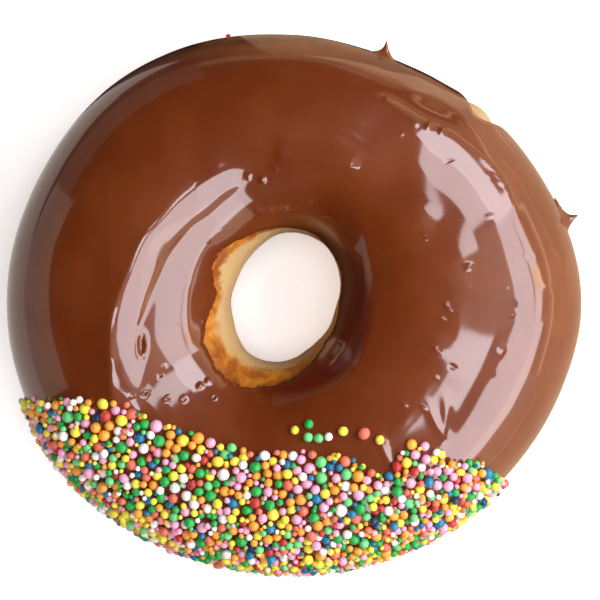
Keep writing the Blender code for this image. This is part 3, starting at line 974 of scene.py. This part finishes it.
def chocolate_finish():
    """Glossy icing with faint clouds, golden where it is thin on the far rim, with painted shade that darkens
    the hole's lip.
    """
    finish = Finish("chocolate_icing_gloss", Specular_IOR_Level=0.25, Coat_Roughness=0.07, Coat_IOR=1.9)
    clouds = finish.noise(9 * MM, 3, 0.55, 0.6).step(0.35, 0.7)
    brown = finish.mix(clouds, MILK_CHOCOLATE, CHOCOLATE_LIGHT)
    thin = finish.part("Y").step(*THIN_FROM) * finish.noise(6 * MM, 2).step(0.35, 0.6)
    near_hole = 1 - finish.away_from(LIP_MIDDLE).step(*LIP_EDGE)
    lip = near_hole * finish.off_diagonal(HOLE_CENTRE).step(*LIP_SIDE)
    # Painted shade: the hole's lip takes the darker chocolate.
    finish.feed("Base Color", finish.mix(lip, finish.mix(thin, brown, THIN_CHOCOLATE), PAINTED_SHADE_CHOCOLATE))
    finish.feed("Coat Weight", 1 - LIP_DULLNESS * lip * finish.away_from(GROOVE_MIDDLE).step(*GROOVE_EDGE))
    finish.feed("Roughness", 0.32 + 0.16 * finish.noise(4 * MM, 3, 0.6))
    finish.bump(finish.noise(2.4 * MM, 2, 0.5), 0.012 * MM)
    return finish.material


FRIED_DEEP = colour(0.22, 0.05, 0.002)
FRIED_GOLD = colour(0.50, 0.19, 0.012)
FRIED_PALE = colour(0.44, 0.29, 0.125)
# Painted light: a lighter olive gold that brightens the hole's shaded right wall.
PAINTED_LIGHT_OLIVE = colour(0.72, 0.34, 0.05)
# The pale band: how high it begins and ends, and how uneven that is.
PALE_BAND_LOW = (8.0 * MM, 11.0 * MM)
PALE_BAND_HIGH = (18.2 * MM, 20.2 * MM)
PALE_BAND_UNEVENNESS = 5 * MM
# How much lower the pale band ends on the near side than on the far left.
PALE_BAND_SLANT = 0.06
BROWNED_ABOVE = (20.5 * MM, 23.5 * MM)
# How far below the icing's edge in the hole the golden fringe gives way to the pale band.
GOLDEN_FRINGE = (1.0 * MM, 2.3 * MM)
FRINGE_UNEVENNESS = 3 * MM
# The hole's wall lies within this distance of its middle. To the right it is brown all the way down, with
# painted light there: a lighter olive gold on that shaded wall.
HOLE_WALL = (15 * MM, 17 * MM)
BROWN_AND_LIT_RIGHT = (1 * MM, 7 * MM)


def crust_finish():
    """Fried crust: golden brown, mottled, with the pale band that stands out of the fat half way up, and
    painted light on the hole's shaded right wall.
    """
    finish = Finish("fried_crust", Roughness=0.62, IOR=1.45)
    mottle = finish.noise(3.2 * MM, 4, 0.6, 0.4)
    wobble = finish.part("Z") + (finish.noise(2.5 * MM, 3, 0.65) - 0.5) * PALE_BAND_UNEVENNESS
    browned = 0.75 * wobble.step(*BROWNED_ABOVE)
    fried = finish.mix(mottle.step(0.35, 0.68) * (1 - browned), FRIED_DEEP, FRIED_GOLD)
    slanted = wobble + PALE_BAND_SLANT * finish.off_diagonal(HOLE_CENTRE)
    in_hole = 1 - finish.away_from(HOLE_CENTRE).step(*HOLE_WALL)
    brown_and_lit_side = in_hole * finish.part("X").step(*BROWN_AND_LIT_RIGHT)
    past_icing = finish.attribute("past_icing")
    past_fringe = past_icing + (finish.noise(1.6 * MM, 3, 0.6) - 0.5) * FRINGE_UNEVENNESS
    band = wobble.step(*PALE_BAND_LOW) * (1 - slanted.step(*PALE_BAND_HIGH)) * (1 - brown_and_lit_side)
    band = band * past_fringe.step(*GOLDEN_FRINGE)
    speckle = finish.noise(0.8 * MM, 3, 0.6)
    # Painted light: the hole's right wall is mixed towards the lighter olive gold.
    shade = finish.mix(band, finish.mix(brown_and_lit_side * 0.8, fried, PAINTED_LIGHT_OLIVE), FRIED_PALE)
    finish.feed("Base Color", finish.mix(speckle.step(0.55, 0.75) * 0.25, shade, FRIED_GOLD))
    finish.feed("Roughness", 0.5 + 0.25 * mottle)
    crumb = finish.noise(0.9 * MM, 4, 0.65) + 0.6 * finish.noise(0.35 * MM, 2, 0.5)
    finish.bump(crumb, 0.12 * MM, 0.8)
    return finish.material


def sugar_finish(name, tint):
    """A sugar ball's shell: a slightly uneven coat, each ball a little lighter or darker."""
    finish = Finish(f"sugar_{name}", Roughness=0.38, IOR=1.45, Coat_Weight=0.3, Coat_Roughness=0.25)
    tone = finish.attribute("tone")
    shell = finish.mix(tone, colour(*(part * 0.82 for part in tint)), colour(*tint))
    patchy = finish.noise(0.7 * MM, 2).step(0.5, 0.75) * 0.18
    finish.feed("Base Color", finish.mix(patchy, shell, colour(*(min(1, part * 0.6 + 0.3) for part in tint))))
    finish.bump(finish.noise(0.3 * MM, 2), 0.03 * MM, 0.6)
    return finish.material


FLOOR_SIZE = 4.0
FLOOR_GLOW = 0.4
FLOOR_GREYS = (0.93, 0.95)


def floor_finish():
    finish = Finish("pale_floor", Roughness=0.9, Specular_IOR_Level=0.1, Emission_Color=colour(1, 1, 1),
                    Emission_Strength=FLOOR_GLOW)
    darker, lighter = (colour(grey, grey, grey) for grey in FLOOR_GREYS)
    finish.feed("Base Color", finish.mix(finish.noise(30 * MM, 2), darker, lighter))
    return finish.material


def floor():
    data = bpy.data.meshes.new("floor")
    half = FLOOR_SIZE / 2
    corners = [(-half, -half, 0), (half, -half, 0), (half, half, 0), (-half, half, 0)]
    data.from_pydata(corners, [], [(0, 1, 2, 3)])
    data.materials.append(floor_finish())
    made = put("floor", data)
    made.visible_glossy = False
    return made


LIGHT_DISTANCE = 0.9
WINDOW_COLOUR = (1.0, 0.96, 1.03)
TABLE_COLOUR = (1.0, 0.68, 0.42)
ROOM_COLOUR = (1.0, 0.92, 0.84)
WALL_COLOUR = (1.0, 0.66, 0.50)
FRAME_COLOUR = (1.0, 0.82, 0.60)
# Each stretch of light: its azimuths and its angles from the zenith, its brightness and its colour.
LIGHTS = {
    "window_far_top": (23, 38, 14.5, 25, 3.6, WINDOW_COLOUR),
    "window_far_high": (31, 46, 25, 44, 3.6, WINDOW_COLOUR),
    "window_far": (27, 50, 44, 60, 4.8, WINDOW_COLOUR),
    "window_middle": (-7, 27, 43, 60, 3.4, WINDOW_COLOUR),
    "window_middle_left": (12, 27, 60, 67, 3.4, WINDOW_COLOUR),
    "window_middle_right": (-7, 4, 60, 67, 3.4, WINDOW_COLOUR),
    "window_frame": (4, 12, 60, 69, 3.6, FRAME_COLOUR),
    "window_near_high": (-30, -13, 11, 33, 4.4, WINDOW_COLOUR),
    "window_near_corner": (-35, -30, 15.5, 33, 4.4, WINDOW_COLOUR),
    "window_near": (-42, -7, 44, 70, 3.4, WINDOW_COLOUR),
    "window_side": (-76, -42, 40, 66, 3.8, WINDOW_COLOUR),
    "window_end": (-84, -76, 50, 66, 3.6, WINDOW_COLOUR),
    "wall_right_top": (-12, 28, 7, 13, 0.3, WALL_COLOUR),
    "wall_right": (-12, 28, 13, 43, 0.53, WALL_COLOUR),
    "room_near": (-76, -22, 62, 92, 0.8, FRAME_COLOUR),
    "room_right_high": (-22, 60, 62, 74, 0.5, TABLE_COLOUR),
    "room_right": (-22, 52, 74, 92, 0.9, TABLE_COLOUR),
    "room_streak": (-22, 58, 78, 80.5, 1.3, TABLE_COLOUR),
    "room_streak_high": (0, 60, 67, 69, 0.9, TABLE_COLOUR),
    "room_far_right": (52, 74, 82, 92, 0.4, TABLE_COLOUR),
    "room_far": (74, 105, 83, 92, 0.35, TABLE_COLOUR),
    "room_far_left": (105, 150, 62, 92, 0.12, ROOM_COLOUR),
    "room_left": (150, 205, 51, 92, 0.4, ROOM_COLOUR),
}
WIDEST_PANE = 36
ROOM_BRIGHTNESS = 0.012
ROOM_TINT = colour(1, 0.98, 0.96)
# The glow of the sunlit table, which the icing's rim mirrors, bright to the right and dim to the left: the
# middle and the size of each part, its brightness and its colour.
TABLE_DEPTH = 4 * MM
TABLE_GLOWS = {
    "table_right": ((0.29, 0), (0.5, 0.8), 0.85, TABLE_COLOUR),
    "table_left": ((-0.29, -0.15), (0.5, 0.5), 0.6, ROOM_COLOUR),
    "table_far": ((0.03, 0.275), (0.08, 0.45), 0.4, TABLE_COLOUR),
}
# Soft lamps that the gloss doesn't mirror: their places, sizes and brightness.
SOFT_LAMPS = {
    "fill_above": ((0, 0, 1.0), 0.42, 0.42),
    "lamp_right": ((0.12, 0.01, 0.15), 0.08, 0.72),
}


def add_light(name, size, height, brightness, tint, turned):
    """A flat rectangle of light of this radiance."""
    data = bpy.data.lights.new(name, "AREA")
    data.shape = "RECTANGLE"
    data.size = size
    data.size_y = height
    data.color = tint
    data.energy = brightness * math.pi * size * height
    lamp = put(name, data)
    lamp.matrix_world = turned
    return lamp


def panes():
    """Upright panes round the doughnut: soft window light from the right, and the dimmer room."""
    for name, (first, last, high, low, brightness, tint) in LIGHTS.items():
        count = math.ceil((last - first) / WIDEST_PANE)
        half = math.radians(last - first) / (2 * count)
        foot = LIGHT_DISTANCE / math.tan(math.radians(low))
        top = LIGHT_DISTANCE / math.tan(math.radians(high))
        for k in range(count):
            turn = math.radians(first) + (2 * k + 1) * half
            middle = (math.cos(half) * LIGHT_DISTANCE, 0, (foot + top) / 2)
            upright = Matrix.Rotation(math.pi / 2, 4, "Z") @ Matrix.Rotation(math.pi / 2, 4, "X")
            place = Matrix.Rotation(turn, 4, "Z") @ Matrix.Translation(middle) @ upright
            add_light(f"{name}_{k}", 2 * LIGHT_DISTANCE * math.sin(half), top - foot, brightness, tint, place)


def soft_lamps():
    """Soft light from straight above, which reaches down the hole, and from the right."""
    for name, (place, size, brightness) in SOFT_LAMPS.items():
        away = Vector(place)
        facing = away.to_track_quat("Z", "Y").to_matrix().to_4x4()
        radiance = brightness * math.pi * away.length_squared / size**2
        lamp = add_light(name, size, size, radiance, (1, 1, 1), Matrix.Translation(away) @ facing)
        lamp.visible_glossy = False


def table_glow():
    """Lights that lie just under the floor, so that only the gloss sees them."""
    for name, (middle, size, brightness, tint) in TABLE_GLOWS.items():
        lying = Matrix.Translation((*middle, -TABLE_DEPTH)) @ Matrix.Rotation(math.pi, 4, "X")
        add_light(name, *size, brightness, tint, lying)


def room():
    world = bpy.data.worlds.new("room")
    world.use_nodes = True
    backdrop = world.node_tree.nodes["Background"]
    backdrop.inputs["Color"].default_value = ROOM_TINT
    backdrop.inputs["Strength"].default_value = ROOM_BRIGHTNESS
    bpy.context.scene.world = world
    bpy.context.scene.view_settings.view_transform = "Standard"


def camera():
    data = bpy.data.cameras.new("camera")
    data.sensor_width = SENSOR_WIDTH_MM
    data.lens = SENSOR_WIDTH_MM * (EYE_HEIGHT - RIM_LEVEL) / FRAME_WIDTH_AT_RIM
    made = put("camera", data)
    made.location = (*EYE_OVER, EYE_HEIGHT)
    bpy.context.scene.camera = made


def main():
    icing = chocolate_icing()
    gloss = chocolate_finish()
    icing.data.materials.append(gloss)
    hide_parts("chocolate_icing")
    peaks = pulled_peaks()
    peaks.data.materials.append(gloss)
    dough = dough_ring()
    dough.data.materials.append(crust_finish())
    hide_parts("dough_ring")
    balls = sugar_balls({name: sugar_finish(name, tint) for name, (tint, share) in BALL_KINDS.items()})
    for piece in [icing, peaks, dough, *balls]:
        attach(piece, "root")
    floor()
    panes()
    soft_lamps()
    table_glow()
    room()
    camera()


main()
